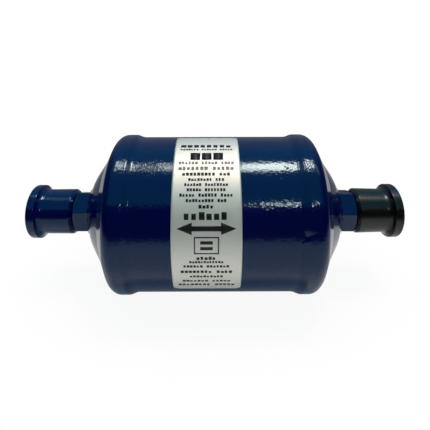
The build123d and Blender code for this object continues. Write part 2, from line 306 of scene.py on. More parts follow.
def grid_mesh(name, points, wrap_rows):
    """A closed mesh of the grid points[row, column], whose columns close on themselves.

    A row whose points all meet is a pole: it becomes one vertex and a fan of triangles. The sum of
    a . (b x c) over the faces is six times the volume, and is negative where they face inwards.
    """
    rows, columns = points.shape[:2]
    index = np.arange(rows * columns).reshape(rows, columns)
    for row in (0, rows - 1):
        if np.ptp(points[row], axis=0).max() < ONE_POINT:
            index[row] = index[row, 0]
    if wrap_rows:
        index = np.concatenate([index, index[:1]])
    quads = cells(np.concatenate([index, index[:, :1]], 1))
    flat = points.reshape(-1, 3)
    a, b, c, d = (flat[quads[:, k]] for k in range(4))
    volume = (a * np.cross(b, c)).sum() + (a * np.cross(c, d)).sum()
    if volume < 0:
        quads = quads[:, ::-1]
    start_fan = quads[:, 0] == quads[:, 1]
    end_fan = quads[:, 2] == quads[:, 3]
    fans = np.concatenate([quads[start_fan][:, 1:], quads[end_fan][:, :3]])
    quads = quads[~(start_fan | end_fan)]
    corners = np.concatenate([quads.ravel(), fans.ravel()])
    used, renumbered = np.unique(corners, return_inverse=True)
    quads = renumbered[: quads.size].reshape(-1, 4)
    fans = renumbered[quads.size :].reshape(-1, 3)
    return new_mesh(name, flat[used].tolist(), quads.tolist() + fans.tolist())


def finished_piece(mesh, material, slot, node, body, sharp=radians(35)):
    """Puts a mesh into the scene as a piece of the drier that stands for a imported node. Edges that
    turn by more than `sharp` stay crisp."""
    mesh.polygons.foreach_set("use_smooth", np.ones(len(mesh.polygons), bool))
    mesh.set_sharp_from_angle(angle=sharp)
    mesh.materials.append(material)
    piece = bpy.data.objects.new(mesh.name, mesh)
    bpy.context.scene.collection.objects.link(piece)
    if body:
        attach(piece, body)
    if node:
        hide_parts(node)
    return piece


def evenly(columns):
    """So many angles, evenly round the flow axis."""
    return np.arange(columns) * 2 * pi / columns


def lathed(name, outline, angles, shape=None):
    """A closed (x, r) outline turned about the flow axis, with a column of points at each angle.

    `shape` may move the stations and radii, given x, r and a as whole arrays.
    """
    x = np.repeat(outline[:, :1], len(angles), 1)
    r = np.repeat(outline[:, 1:], len(angles), 1)
    a = np.repeat(angles[None], len(outline), 0)
    if shape:
        x, r = shape(x, r, a)
    on_axis = outline[0, 1] < ONE_POINT
    return grid_mesh(name, turned(x, r, a), wrap_rows=not on_axis)


def mirrored(mesh):
    """Moves a mesh to the other end of the drier and turns its faces outward again."""
    count = len(mesh.vertices)
    places = np.empty(count * 3, np.float32)
    mesh.vertices.foreach_get("co", places)
    places[::3] *= -1
    mesh.vertices.foreach_set("co", places)
    mesh.flip_normals()


def both_ends(stem, build):
    """Each side in turn and its mesh. `build(name, side)` makes it as the right end's, and the left
    end's is its mirror image."""
    for side, way in SIDES.items():
        mesh = build(f"{stem}_{side}", side)
        if way < 0:
            mirrored(mesh)
        yield side, mesh


def smooth_step(value, low_end, high_end):
    """0 below the low end, 1 above the high end, and a cubic with flat ends between them."""
    t = np.clip((value - low_end) / (high_end - low_end), 0, 1)
    return t * t * (3 - 2 * t)


# Shell, heads, seams and neck beads


def dented(x, r, a):
    """The knock on the right skirt: the surface leans in over a few millimetres and steps back out.

    With u along the axis and v round the skirt, in millimetres from the knock's middle, the depth
    grows in a straight ramp below a slanted upper edge and ends in a short step at a slanted lower
    edge. It fades out at both ends along u, and below the skirt's outer surface.
    """
    middle_x, middle_turn, deepest, ramp_length, step_length = 39.2, radians(17.5), 0.5, 4.0, 0.7
    u = x / MM - middle_x
    v = (a - middle_turn) * r / MM
    top = 2.6 - 0.35 * np.abs(u + 1.0)
    bottom = -1.4 + 0.45 * u
    ramp = np.clip((top - v) / ramp_length, 0, 1)
    step_out = smooth_step(v, bottom - step_length, bottom)
    ends = smooth_step(u, -4.2, -2.6) * (1 - smooth_step(u, 2.6, 4.4))
    outside = smooth_step(r, 37.9 * MM, 38.3 * MM)
    return x, r - deepest * MM * ramp * step_out * ends * outside


def lumpy_neck(x, r, a):
    """The brazing round the fitting: a ridge of blobs up to 0.8 mm high, from 11 to 15 mm off the
    axis. Its height is the sum of two rectified sines of the angle, with 16 and 22 blobs a turn."""
    height = 0.45 * MM
    ridge = smooth_step(r, 11 * MM, 12.4 * MM) * (1 - smooth_step(r, 13 * MM, 15 * MM))
    blobs = np.abs(np.sin(8 * a + 0.4)) + 0.8 * np.abs(np.sin(11 * a + 2))
    return x + ridge * height * blobs, r


def dented_head(x, r, a):
    """The right head has both the brazing and the knock."""
    return dented(*lumpy_neck(x, r, a), a)


def head_outline(shell):
    """The outer surface of a pressed head, from its skirt's edge to the fitting's hole: skirt,
    bend, straight shoulder, kink, straight nose, and an arc that rounds the nose over."""
    corner_x = shell.kink_x - (shell.skirt_r - shell.kink_r) / tan(shell.shoulder_slope)
    dome_r = shell.kink_r - (shell.dome_x - shell.kink_x) * tan(shell.nose_slope)
    dome_start = np.array([shell.dome_x, dome_r])
    dome_end = np.array([shell.nose_x, shell.nose_r])
    nose = np.array([cos(shell.nose_slope), -sin(shell.nose_slope)])
    chord = dome_end - dome_start
    half_turn = np.arccos(nose @ chord / np.linalg.norm(chord))
    dome_radius = np.linalg.norm(chord) / 2 / sin(half_turn)
    dome_corner = dome_start + nose * dome_radius * tan(half_turn)
    return rounded_outline(
        [
            (shell.skirt_x, shell.skirt_r, 0),
            (corner_x, shell.skirt_r, shell.shoulder_round),
            (shell.kink_x, shell.kink_r, shell.kink_round),
            (*dome_corner, dome_radius),
            (*dome_end, 0),
        ],
        closed=False,
        step=radians(4),
    )


class DRIER_OT_shell(bpy.types.Operator):
    """Builds the painted skin of the shell tube"""

    bl_idname = "drier.shell"
    bl_label = "Build shell"

    def execute(self, context):
        shell = context.scene.drier_shell
        inner = shell.radius - shell.wall
        ends = [(-1, inner), (-1, shell.radius), (1, shell.radius), (1, inner)]
        outline = np.array([(way * shell.half, r) for way, r in ends])
        outline = divided(outline, longest=4 * MM, closed=True)
        mesh = lathed("shell_skin", outline, evenly(SHELL_RING))
        finished_piece(mesh, enamel(), "blue_paint", "shell_tube", BODY)
        return {"FINISHED"}


class DRIER_OT_heads(bpy.types.Operator):
    """Builds both pressed heads, with the brazing on the noses and the knock on the right skirt"""

    bl_idname = "drier.heads"
    bl_label = "Build heads"

    def execute(self, context):
        shell = context.scene.drier_shell
        profile = head_outline(shell)
        outer = divided(profile, longest=0.45 * MM)
        inner = inside(divided(profile, longest=2 * MM), shell.head_wall)
        outline = np.concatenate([outer, inner])
        shapes = {"left": lumpy_neck, "right": dented_head}

        def build(name, side):
            return lathed(name, outline, evenly(SHELL_RING), shapes[side])

        for side, mesh in both_ends("head_skin", build):
            finished_piece(mesh, enamel(), "blue_paint", f"end_head_{side}", BODY)
        return {"FINISHED"}


class DRIER_OT_seams(bpy.types.Operator):
    """Builds the girth seams that run from the shell up to each skirt"""

    bl_idname = "drier.seams"
    bl_label = "Build seams"

    def execute(self, context):
        """The seam rises from its toe to the skirt as a cubic with flat ends."""
        shell = context.scene.drier_shell
        x = np.linspace(shell.seam_x, shell.skirt_x, 14)
        toe_r = shell.radius + shell.seam_toe
        r = toe_r + (shell.skirt_r - toe_r) * smooth_step(x, shell.seam_x, shell.skirt_x)
        base = np.array([(shell.skirt_x, shell.radius), (shell.seam_x, shell.radius)])
        outline = np.concatenate([np.stack([x, r], 1), base])
        shapes = {"left": None, "right": dented}

        def build(name, side):
            return lathed(name, outline, evenly(SHELL_RING), shapes[side])

        for side, mesh in both_ends("seam_skin", build):
            finished_piece(mesh, enamel(), "blue_paint", f"girth_weld_{side}", BODY)
        return {"FINISHED"}


class DRIER_OT_beads(bpy.types.Operator):
    """Builds the neck beads between the noses and the hexagons"""

    bl_idname = "drier.beads"
    bl_label = "Build neck beads"

    def execute(self, context):
        """The bead's crest is a parabola from the nose's end to its foot on the hexagon."""
        shell = context.scene.drier_shell
        fitting = context.scene.drier_fitting
        nose = np.array([shell.nose_x, shell.nose_r])
        foot = np.array([fitting.hex_x0, fitting.bead_foot_r])
        swell = (nose + foot) / 2 + 2 * fitting.bead_bulge
        t = np.linspace(0, 1, 9)[:, None]
        crest = (1 - t) ** 2 * nose + 2 * t * (1 - t) * swell + t**2 * foot
        base = np.array([(fitting.hex_x0, fitting.spigot_r), (shell.nose_x, fitting.spigot_r)])
        outline = np.concatenate([crest, base])

        def build(name, side):
            return lathed(name, outline, evenly(FITTING_RING))

        for side, mesh in both_ends("neck_bead", build):
            finished_piece(mesh, enamel(), "blue_paint", f"neck_weld_{side}", BODY)
        return {"FINISHED"}


# Fittings and caps


def hexagon_angles(rise):
    """Columns round a hexagon, packed towards its corners: each sixth goes from corner to corner
    and follows the sine of an evenly divided quarter turn each way."""
    columns_a_flat = 48
    t = np.linspace(-1, 1, columns_a_flat + 1)[:-1]
    packed = np.sin(t * pi / 2) * pi / 6
    return (rise + np.arange(6)[:, None] * pi / 3 + packed).ravel()


def fitting_shape(fitting, rise):
    """Cuts the wrench flats and the thread into a turned blank.

    A flat stands at radius h / cos(b), with b the angle from the flat's middle and h half the width
    across flats; a parabola eases the corners to a slightly smaller circle. The thread's depth is
    a triangle wave of x / pitch - a / 2 pi. A 60 degree inch thread is 0.6134 of its pitch deep,
    and its crests are flat over an eighth and its roots over a quarter of that wave.
    """
    corner_cut, blend = 0.12 * MM, 0.1 * MM
    full_depth, crest_flat, flank = 0.6134 * fitting.pitch, 0.125, 0.625
    runout, groove_edge = 0.7 * MM, 0.3 * MM

    def shape(x, r, a):
        across = fitting.hex_flats / 2
        from_middle = (a - rise + pi / 6) % (pi / 3) - pi / 6
        flat_r = across / np.cos(from_middle)
        corner_r = across / cos(pi / 6) - corner_cut
        gap = np.clip((flat_r - corner_r) / blend, -1, 1)
        flat_r = np.where(gap > -1, flat_r - blend * (gap + 1) ** 2 / 4, flat_r)
        r = np.where(r > across, np.minimum(r, flat_r), r)
        wave = np.abs((x / fitting.pitch - a / (2 * pi)) % 1 - 0.5) * 2
        cut = fitting.thread_r - full_depth * np.clip((wave - crest_flat) / flank, 0, 1)
        threaded = (x > fitting.thread_x0 - runout) & (x < fitting.thread_x1)
        threaded &= r > fitting.relief_r - groove_edge
        return x, np.where(threaded, np.minimum(r, cut), r)

    return shape


class DRIER_OT_fittings(bpy.types.Operator):
    """Builds the flare fittings: spigot, wrench flats, groove, thread, flare seat and bore"""

    bl_idname = "drier.fittings"
    bl_label = "Build fittings"

    def execute(self, context):
        fitting = context.scene.drier_fitting
        corner_r = fitting.hex_flats / sqrt(3)
        edge, root, crest = 0.15 * MM, 0.2 * MM, 0.3 * MM
        face_bevel, front_bevel, chamfer = 0.5 * MM, 0.75 * MM, 0.8 * MM
        outline = rounded_outline(
            [
                (fitting.spigot_x, fitting.bore_r, 0),
                (fitting.spigot_x, fitting.spigot_r, root),
                (fitting.hex_x0, fitting.spigot_r, root),
                (fitting.hex_x0, corner_r - face_bevel, edge),
                (fitting.hex_x0 + face_bevel, corner_r, crest),
                (fitting.hex_x1 - front_bevel, corner_r, crest),
                (fitting.hex_x1, fitting.hex_flats / 2, edge),
                (fitting.hex_x1, fitting.relief_r, crest),
                (fitting.thread_x0 - chamfer, fitting.relief_r, root),
                (fitting.thread_x0, fitting.thread_r, 0),
                (fitting.thread_x1 - chamfer, fitting.thread_r, 0),
                (fitting.thread_x1, fitting.flare_r0, edge),
                (fitting.flare_x, fitting.flare_r1, edge),
                (fitting.flare_x, fitting.bore_r, edge),
            ]
        )
        # Rows close enough for the thread's flanks. The bore is plain, so it keeps one in eight.
        outline = divided(outline, longest=0.16 * MM, closed=True)
        in_bore = np.abs(outline[:, 1] - fitting.bore_r) < 0.001 * MM
        outline = outline[~in_bore | (np.arange(len(outline)) % 8 == 0)]
        rises = {"left": fitting.hex_rise_left, "right": fitting.hex_rise_right}

        def build(name, side):
            rise = rises[side]
            return lathed(name, outline, hexagon_angles(rise), fitting_shape(fitting, rise))

        for side, mesh in both_ends("fitting_skin", build):
            node = f"flare_fitting_{side}"
            finished_piece(mesh, enamel(), "blue_paint", node, BODY, sharp=radians(28))
        return {"FINISHED"}


def cap_outline(cap, taper):
    """A cap's section from the middle of its closed end, round the flange and the mouth, to the
    middle of the inside. The cove is an arc that leaves the barrel without a kink, and the flange's
    back runs on from it."""
    narrow = cap.barrel_r - taper
    foot = np.array([cap.cove_x1, cap.flange_r - cap.flange_round])
    chord = foot - np.array([cap.cove_x0, narrow])
    half_turn = np.arctan2(chord[1], chord[0])
    cove_round = np.linalg.norm(chord) / 2 / sin(half_turn)
    cove_corner = cap.cove_x0 + cove_round * tan(half_turn)
    lean = np.array([cos(2 * half_turn), sin(2 * half_turn)])
    reach = (cap.flange_r - foot[1]) / lean[1]
    crown = foot + lean * reach
    bevel_edge, mouth_edge, bore_edge, inner_corner = 0.35 * MM, 0.15 * MM, 0.1 * MM, 0.5 * MM
    return rounded_outline(
        [
            (cap.x1, 0, 0),
            (cap.x1, cap.flange_r, cap.flange_round),
            (*crown, cap.flange_round * 0.75),
            (cove_corner, narrow, cove_round * 0.98),
            (cap.x0 + cap.mouth_length, cap.barrel_r, bevel_edge),
            (cap.x0, cap.mouth_r, mouth_edge),
            (cap.x0, cap.bore_r, bore_edge),
            (cap.x1 - cap.end_wall, cap.bore_r, inner_corner),
            (cap.x1 - cap.end_wall, 0, 0),
        ],
        closed=False,
        step=radians(6),
    )


class DRIER_OT_caps(bpy.types.Operator):
    """Builds the dust caps: enamelled on the left, bare black with overspray on the right"""

    bl_idname = "drier.caps"
    bl_label = "Build dust caps"

    def execute(self, context):
        cap = context.scene.drier_cap
        tapers = {"left": cap.taper_left, "right": cap.taper_right}
        finishes = {"left": enamel_coat("enamel_over_plastic"), "right": black_cap()}
        slots = {"left": "painted_cap", "right": "black_cap"}

        def build(name, side):
            outline = divided(cap_outline(cap, tapers[side]), longest=0.8 * MM)
            return lathed(name, outline, evenly(FITTING_RING))

        for side, mesh in both_ends("cap_skin", build):
            node = f"dust_cap_{side}"
            finished_piece(mesh, finishes[side], slots[side], node, node)
        return {"FINISHED"}


# Label and print

# Rows of plain blocks where such a label has its print: millimetres down from the label's
# middle, height, width, how wide a block is for its height, and whether the ink is grey.
PRINT_ROWS = (
    (-32.1, 2.3, 24.4, 1.05, False),
    (-29.2, 1.1, 24.4, 0.85, False),
    (-20.2, 1.5, 25.0, 0.70, True),
    (-17.2, 1.8, 24.8, 0.75, True),
    (-14.2, 1.5, 21.2, 0.80, False),
    (-11.6, 1.3, 15.8, 0.75, False),
    (-9.3, 1.3, 19.0, 0.72, False),
    (-7.0, 1.3, 16.8, 0.72, False),
    (-4.7, 1.4, 23.0, 0.72, False),
    (-2.4, 1.3, 17.4, 0.72, False),
    (0.1, 1.5, 6.6, 0.80, False),
    (3.9, 3.2, 18.8, 0.60, False),
    (22.1, 1.5, 8.4, 0.72, False),
    (24.0, 1.1, 14.6, 0.85, False),
    (26.3, 1.2, 19.6, 0.85, False),
    (29.4, 1.5, 22.2, 0.85, False),
    (32.4, 1.3, 14.6, 0.80, False),
    (35.6, 1.3, 21.0, 0.95, False),
    (38.8, 1.5, 25.0, 0.95, False),
)
BIG_BLOCKS = (-24.3, 4.6, 15.6, 3, 0.8)  # down, height, width, count, gap
ARROW = (9.1, 24.8, 5.2, 2.1, 6.3)  # down, length, head height, shaft height, head length
FRAME_BOX = (16.3, 10.5, 7.6, 0.5, 1.4)  # down, width, height, line, height of its two bars
BLOCK_GAP = 0.24  # gap between the blocks of a row, for their height


def row_blocks(row, middle, seed):
    """Blocks of one row as (x0, x1, down, height): close-set marks in groups, like words."""
    down, height, width, wide, _ = row
    rng = np.random.default_rng(seed)
    pitch = height * (wide + BLOCK_GAP)
    count = max(int(width / pitch), 2)
    pitch = width / count
    starts = middle - width / 2 + np.arange(count) * pitch
    widths = (pitch - BLOCK_GAP * height) * rng.choice([0.8, 0.92, 1.0], count)
    tall = rng.choice([0.8, 1.0], count, p=[0.3, 0.7])
    word_end = np.zeros(count, bool)
    ends = np.cumsum(rng.integers(5, 10, count))
    word_end[ends[ends < count - 3]] = True
    rows = zip(starts, widths, tall, word_end)
    return [(x, x + w, down + height * (1 - t) / 2, height * t) for x, w, t, end in rows if not end]


def print_patches(patches, label, shell):
    """One grid for each (x stations, middle, half-height) patch, bent round the shell.

    A point at station x and height v between -1 and 1 stands at angle rise - (down + v h(x)) / R.
    """
    radius = shell.radius + label.thick + label.ink
    v = np.linspace(-1, 1, 5)
    vertices, faces, start = [], [], 0
    for x, down, half in patches:
        x = np.array(x) * MM
        half = np.array(half) * MM
        a = label.rise - (down * MM + half[:, None] * v[None]) / radius
        vertices.append(turned(np.repeat(x[:, None], len(v), 1), radius, a).reshape(-1, 3))
        faces.append(cells(start + np.arange(a.size).reshape(a.shape)))
        start += a.size
    return np.concatenate(vertices), np.concatenate(faces)


def thickened(piece, thick):
    """Gives a film its thickness, inwards from its outer face."""
    wall = piece.modifiers.new("thickness", "SOLIDIFY")
    wall.thickness = thick
    wall.offset = -1


class DRIER_OT_label(bpy.types.Operator):
    """Builds the label's film, wrapped on the shell with rounded corners"""

    bl_idname = "drier.label"
    bl_label = "Build label"

    def execute(self, context):
        """The film is a grid of u along the axis and v round the shell; near the top and bottom
        edges each row draws in by c - sqrt(c^2 - e^2), which rounds the corners to radius c."""
        shell = context.scene.drier_shell
        label = context.scene.drier_label
        underside_gap = 0.01 * MM
        middle_rows, corner_rows, columns = 150, 12, 40
        radius = shell.radius + label.thick
        half = label.span / 2 * radius
        inner = np.linspace(-half + label.corner, half - label.corner, middle_rows)
        ease = label.corner * np.sin(np.linspace(0, pi / 2, corner_rows))[1:]
        v = np.concatenate([-half + label.corner - ease[::-1], inner, half - label.corner + ease])
        into_corner = np.clip(np.abs(v) - (half - label.corner), 0, label.corner)
        draw_in = label.corner - np.sqrt(np.maximum(label.corner**2 - into_corner**2, 0))
        u = np.linspace(0, 1, columns)
        left_edge = label.x0 + draw_in
        right_edge = label.x1 - draw_in
        x = left_edge[:, None] + (right_edge - left_edge)[:, None] * u[None]
        a = label.rise + np.repeat(v[:, None], len(u), 1) / radius
        points = turned(x, radius, a).reshape(-1, 3)
        faces = cells(np.arange(x.size).reshape(x.shape))
        mesh = new_mesh("label_skin", points.tolist(), faces.tolist())
        flat = np.stack([x.ravel(), np.repeat(v, len(u))], 1)
        corners = np.empty(len(mesh.loops), np.int32)
        mesh.loops.foreach_get("vertex_index", corners)
        uv_map = mesh.uv_layers.new(name="flat_film")
        uv_map.data.foreach_set("uv", flat[corners].astype(np.float32).ravel())
        piece = finished_piece(mesh, label_film(), "label_film", "label", BODY)
        thickened(piece, label.thick - underside_gap)
        return {"FINISHED"}


class DRIER_OT_print(bpy.types.Operator):
    """Builds the label's print as plain blocks and a two-way flow arrow"""

    bl_idname = "drier.print"
    bl_label = "Build print"

    def execute(self, context):
        shell = context.scene.drier_shell
        label = context.scene.drier_label
        finish = context.scene.drier_finish
        middle = (label.x0 + label.x1) / 2 / MM
        black, grey = [], []

        def block(x0, x1, down, height, ink=black):
            ink.append(((x0, x1), down, (height / 2, height / 2)))

        for seed, row in enumerate(PRINT_ROWS):
            for x0, x1, down, height in row_blocks(row, middle, seed):
                block(x0, x1, down, height, grey if row[4] else black)
        down, height, width, count, gap = BIG_BLOCKS
        pitch = width / count
        for index in range(count):
            x0 = middle - width / 2 + index * pitch + gap / 2
            block(x0, x0 + pitch - gap, down, height)
        down, span, head, shaft, head_length = ARROW
        tip = 0.02
        tail = head_length - span / 2
        stations = np.linspace(-span / 2, tail, 6)
        grow = np.linspace(tip, head / 2, 6)
        black.append((middle + stations, down, grow))
        black.append((middle - stations[::-1], down, grow[::-1]))
        block(middle + tail, middle - tail, down, shaft)
        down, width, height, line, bar = FRAME_BOX
        for way in (-1, 1):
            edge = middle + way * (width - line) / 2
            block(edge - line / 2, edge + line / 2, down, height)
            rail = down + way * (height - line) / 2
            inner_half = width / 2 - line
            block(middle - inner_half, middle + inner_half, rail, line)
            block(middle - width / 4, middle + width / 4, down + way * height / 6, bar)
        for name, patches, material in (
            ("label_print", black, ink_layer("black_ink", finish.ink)),
            ("label_fine_print", grey, ink_layer("grey_ink", finish.grey_ink)),
        ):
            vertices, faces = print_patches(patches, label, shell)
            mesh = new_mesh(name, vertices.tolist(), faces[:, ::-1].tolist())
            piece = finished_piece(mesh, material, "label_film", None, BODY)
            thickened(piece, label.ink)
        return {"FINISHED"}


# Materials


def add(tree, kind, inputs=None, **settings):
    """Adds one node with its settings; inputs gives each socket a value or another's output."""
    node = tree.nodes.new(kind)
    for name, value in settings.items():
        setattr(node, name, value)
    for socket, value in (inputs or {}).items():
        if isinstance(value, bpy.types.NodeSocket):
            tree.links.new(value, node.inputs[socket])
        else:
            node.inputs[socket].default_value = value
    return node


def new_tree(name):
    """A material with an empty node tree."""
    material = bpy.data.materials.new(name)
    material.use_nodes = True
    material.node_tree.nodes.clear()
    return material, material.node_tree


def surfaced(name, sockets):
    """A material whose shader takes what `sockets(tree, place)` gives for its sockets, with place
    the point on the drier in metres."""
    material, tree = new_tree(name)
    place = add(tree, "ShaderNodeTexCoord").outputs["Object"]
    shader = add(tree, "ShaderNodeBsdfPrincipled", sockets(tree, place))
    add(tree, "ShaderNodeOutputMaterial", {"Surface": shader.outputs[0]})
    return material


def opaque(rgb):
    """A colour with full cover."""
    return (*rgb, 1)


def per(millimetres):
    """The texture scale that repeats every so many millimetres."""
    return 1 / (millimetres * MM)


# Pits where the enamel shrank back beside the right seam, and specks of dirt under it:
# station in millimetres, angle in degrees, radius in millimetres.
PITS = (
    (31.2, 61.4, 0.5),
    (32.2, 60.2, 0.7),
    (34.6, 64.8, 0.9),
    (32.5, 56.7, 0.5),
    (36.1, 57.5, 0.6),
    (28.7, 53.0, 0.5),
)
SPECKS = ((-36.1, 13.8, 0.35), (-35.4, 5.1, 0.5), (34.2, 8.5, 0.4), (-33.9, 20.0, 0.3))


def spots(tree, place, marks, radius):
    """1 in the middle of each mark on the shell and 0 outside it, as one output."""
    total = None
    for station, turn, size in marks:
        a = radians(turn)
        middle = (station * MM, -radius * cos(a), radius * sin(a))
        away = add(tree, "ShaderNodeVectorMath", {0: place, 1: middle}, operation="DISTANCE")
        fall = {"Value": away.outputs["Value"], "From Max": size * MM, "To Min": 1.0, "To Max": 0.0}
        spot = add(tree, "ShaderNodeMapRange", fall, interpolation_type="SMOOTHSTEP").outputs[0]
        if total is None:
            total = spot
        else:
            total = add(tree, "ShaderNodeMath", {0: total, 1: spot}, operation="MAXIMUM").outputs[0]
    return total


def enamel_coat(name):
    """Gloss stoving enamel sprayed on steel: a deep navy body under a glassy coat whose orange
    peel, 1.3 mm across, and slower waves, 9 mm across, break up the lamp's mirror image."""
    finish = bpy.context.scene.drier_finish
    radius = bpy.context.scene.drier_shell.radius
    peel_size, wave_size, wave_share, pit_share, relief = 1.3, 9, 1.6, -1.6, 0.07 * MM

    def coat(tree, place):
        grain = {"Vector": place, "Scale": per(peel_size), "Detail": 2.0, "Roughness": 0.5}
        peel = add(tree, "ShaderNodeTexNoise", grain).outputs["Fac"]
        swell = {"Vector": place, "Scale": per(wave_size), "Detail": 1.0}
        waves = add(tree, "ShaderNodeTexNoise", swell).outputs["Fac"]
        sums = {0: waves, 1: wave_share, 2: peel}
        height = add(tree, "ShaderNodeMath", sums, operation="MULTIPLY_ADD")
        sums = {0: spots(tree, place, PITS, radius), 1: pit_share, 2: height.outputs[0]}
        pitted = add(tree, "ShaderNodeMath", sums, operation="MULTIPLY_ADD")
        form = {"Height": pitted.outputs[0], "Strength": 1.0, "Distance": relief}
        bump = add(tree, "ShaderNodeBump", form)
        specks = spots(tree, place, SPECKS, radius)
        mix = {0: specks, "A": opaque(finish.enamel), "B": (0, 0, 0, 1)}
        body = add(tree, "ShaderNodeMix", mix, data_type="RGBA")
        return {
            "Base Color": body.outputs["Result"],
            "Roughness": 0.1,
            "IOR": 1.5,
            "Specular Tint": opaque(finish.enamel_sheen),
            "Normal": bump.outputs["Normal"],
        }

    return surfaced(name, coat)


def enamel():
    """The one coat of enamel on all of the steel."""
    return bpy.data.materials.get("gloss_enamel") or enamel_coat("gloss_enamel")


def black_cap():
    """Moulded black polyethylene: satin, with a fine mould texture, soft scuffs 4 mm across, and a
    ragged mist of enamel on the flange."""
    finish = bpy.context.scene.drier_finish
    mist_middle = (90.6 * MM, -3.5 * MM, 12.8 * MM)
    mist_r0, mist_r1, raggedness = 3.2 * MM, 4.6 * MM, 4 * MM

    def moulded(tree, place):
        texture = {"Vector": place, "Scale": per(0.5), "Detail": 3.0}
        grain = add(tree, "ShaderNodeTexNoise", texture)
        rubbing = {"Vector": place, "Scale": per(4), "Detail": 4.0}
        scuffs = add(tree, "ShaderNodeTexNoise", rubbing).outputs["Fac"]
        satin = {"Value": scuffs, "To Min": 0.2, "To Max": 0.3}
        rough = add(tree, "ShaderNodeMapRange", satin)
        form = {"Height": grain.outputs["Fac"], "Strength": 0.6, "Distance": 0.006 * MM}
        bump = add(tree, "ShaderNodeBump", form)
        gap = {0: place, 1: mist_middle}
        away = add(tree, "ShaderNodeVectorMath", gap, operation="DISTANCE").outputs["Value"]
        sums = {0: scuffs, 1: raggedness, 2: away}
        ragged = add(tree, "ShaderNodeMath", sums, operation="MULTIPLY_ADD").outputs[0]
        fall = {"From Min": mist_r0, "From Max": mist_r1, "To Min": 1.0, "To Max": 0.0}
        mist = add(tree, "ShaderNodeMapRange", {"Value": ragged, **fall}).outputs[0]
        mix = {0: mist, "A": opaque(finish.black), "B": opaque(finish.overspray)}
        body = add(tree, "ShaderNodeMix", mix, data_type="RGBA")
        return {
            "Base Color": body.outputs["Result"],
            "Roughness": rough.outputs[0],
            "IOR": 1.5,
            "Normal": bump.outputs["Normal"],
        }

    return surfaced("satin_polyethylene", moulded)


def label_film():
    """Metallised polyester label film: silvery satin, so it mirrors the room as broad soft bands,
    with faint drag lines of the coating, 0.6 mm apart, along the web, and ripples 6 mm across."""
    finish = bpy.context.scene.drier_finish

    def coated(tree, place):
        flat = add(tree, "ShaderNodeUVMap", uv_map="flat_film").outputs["UV"]
        drawn = {0: flat, 1: (per(8), per(0.6), 1)}
        stretched = add(tree, "ShaderNodeVectorMath", drawn, operation="MULTIPLY")
        lines = {"Vector": stretched.outputs[0], "Scale": 1.0, "Detail": 2.0}
        drag = add(tree, "ShaderNodeTexNoise", lines)
        satin = {"Value": drag.outputs["Fac"], "To Min": 0.57, "To Max": 0.63}
        rough = add(tree, "ShaderNodeMapRange", satin)
        swell = {"Vector": place, "Scale": per(6), "Detail": 1.0}
        ripple = add(tree, "ShaderNodeTexNoise", swell)
        form = {"Height": ripple.outputs["Fac"], "Strength": 1.0, "Distance": 0.02 * MM}
        bump = add(tree, "ShaderNodeBump", form)
        return {
            "Base Color": opaque(finish.film),
            "Metallic": 0.9,
            "Roughness": rough.outputs[0],
            "Normal": bump.outputs["Normal"],
        }

    return surfaced("metallised_film", coated)


def ink_layer(name, rgb):
    """Thermal transfer ink: thin, even and a little glossy, with a slight loss every 0.3 mm."""

    def inked(tree, place):
        loss = add(tree, "ShaderNodeTexNoise", {"Vector": place, "Scale": per(0.3), "Detail": 1.0})
        gloss = {"Value": loss.outputs["Fac"], "To Min": 0.35, "To Max": 0.55}
        rough = add(tree, "ShaderNodeMapRange", gloss)
        return {"Base Color": opaque(rgb), "Roughness": rough.outputs[0], "IOR": 1.5}

    return surfaced(name, inked)


def bright_metal(name, rgb, lines, roughness):
    """Plated or bare bright metal: fine turning or drawing lines every 0.2 to 0.5 mm along the
    axis spread its reflections across them."""
    smoothest, roughest = roughness - 0.06, roughness + 0.08

    def worked(tree, place):
        drawn = {0: place, 1: (per(lines), per(40), per(40))}
        along = add(tree, "ShaderNodeVectorMath", drawn, operation="MULTIPLY")
        pattern = {"Vector": along.outputs[0], "Scale": 1.0, "Detail": 3.0}
        marks = add(tree, "ShaderNodeTexNoise", pattern).outputs["Fac"]
        gloss = {"Value": marks, "To Min": smoothest, "To Max": roughest}
        rough = add(tree, "ShaderNodeMapRange", gloss)
        form = {"Height": marks, "Strength": 0.5, "Distance": 0.01 * MM}
        bump = add(tree, "ShaderNodeBump", form)
        return {
            "Base Color": opaque(rgb),
            "Metallic": 1.0,
            "Roughness": rough.outputs[0],
            "Normal": bump.outputs["Normal"],
        }

    return surfaced(name, worked)


def grainy(name, rgb, grain, depth, roughness, beads=False):
    """A dull solid with a grain of its own size: felt fibres, bonded beads, rubber or moulded
    nylon. Between bonded beads the hollows are darker, which is painted shade; in the other grains
    the darker tone falls on the raised grain at random."""
    dark = tuple(0.7 * c for c in rgb)

    def grained(tree, place):
        pattern = {"Vector": place, "Scale": per(grain)}
        if beads:
            grains = add(tree, "ShaderNodeTexVoronoi", pattern).outputs["Distance"]
        else:
            grains = add(tree, "ShaderNodeTexNoise", {**pattern, "Detail": 4.0}).outputs["Fac"]
        # Painted shade between the beads: the colour darkens towards each bead's edge, where the
        # bump sinks. In the other grains the darker tone lies on the raised grain.
        mix = {0: grains, "A": opaque(rgb), "B": opaque(dark)}
        body = add(tree, "ShaderNodeMix", mix, data_type="RGBA")
        form = {"Height": grains, "Strength": 0.8, "Distance": depth * MM}
        bump = add(tree, "ShaderNodeBump", form, invert=beads)
        return {
            "Base Color": body.outputs["Result"],
            "Roughness": roughness,
            "IOR": 1.5,
            "Normal": bump.outputs["Normal"],
        }

    return surfaced(name, grained)


def spring_wire():
    """Drawn spring steel, bright along the wire."""
    rgb = bpy.context.scene.drier_finish.spring
    name = "bright_spring_wire"
    return bpy.data.materials.get(name) or bright_metal(name, rgb, lines=0.3, roughness=0.22)


# Springs and what the shell holds


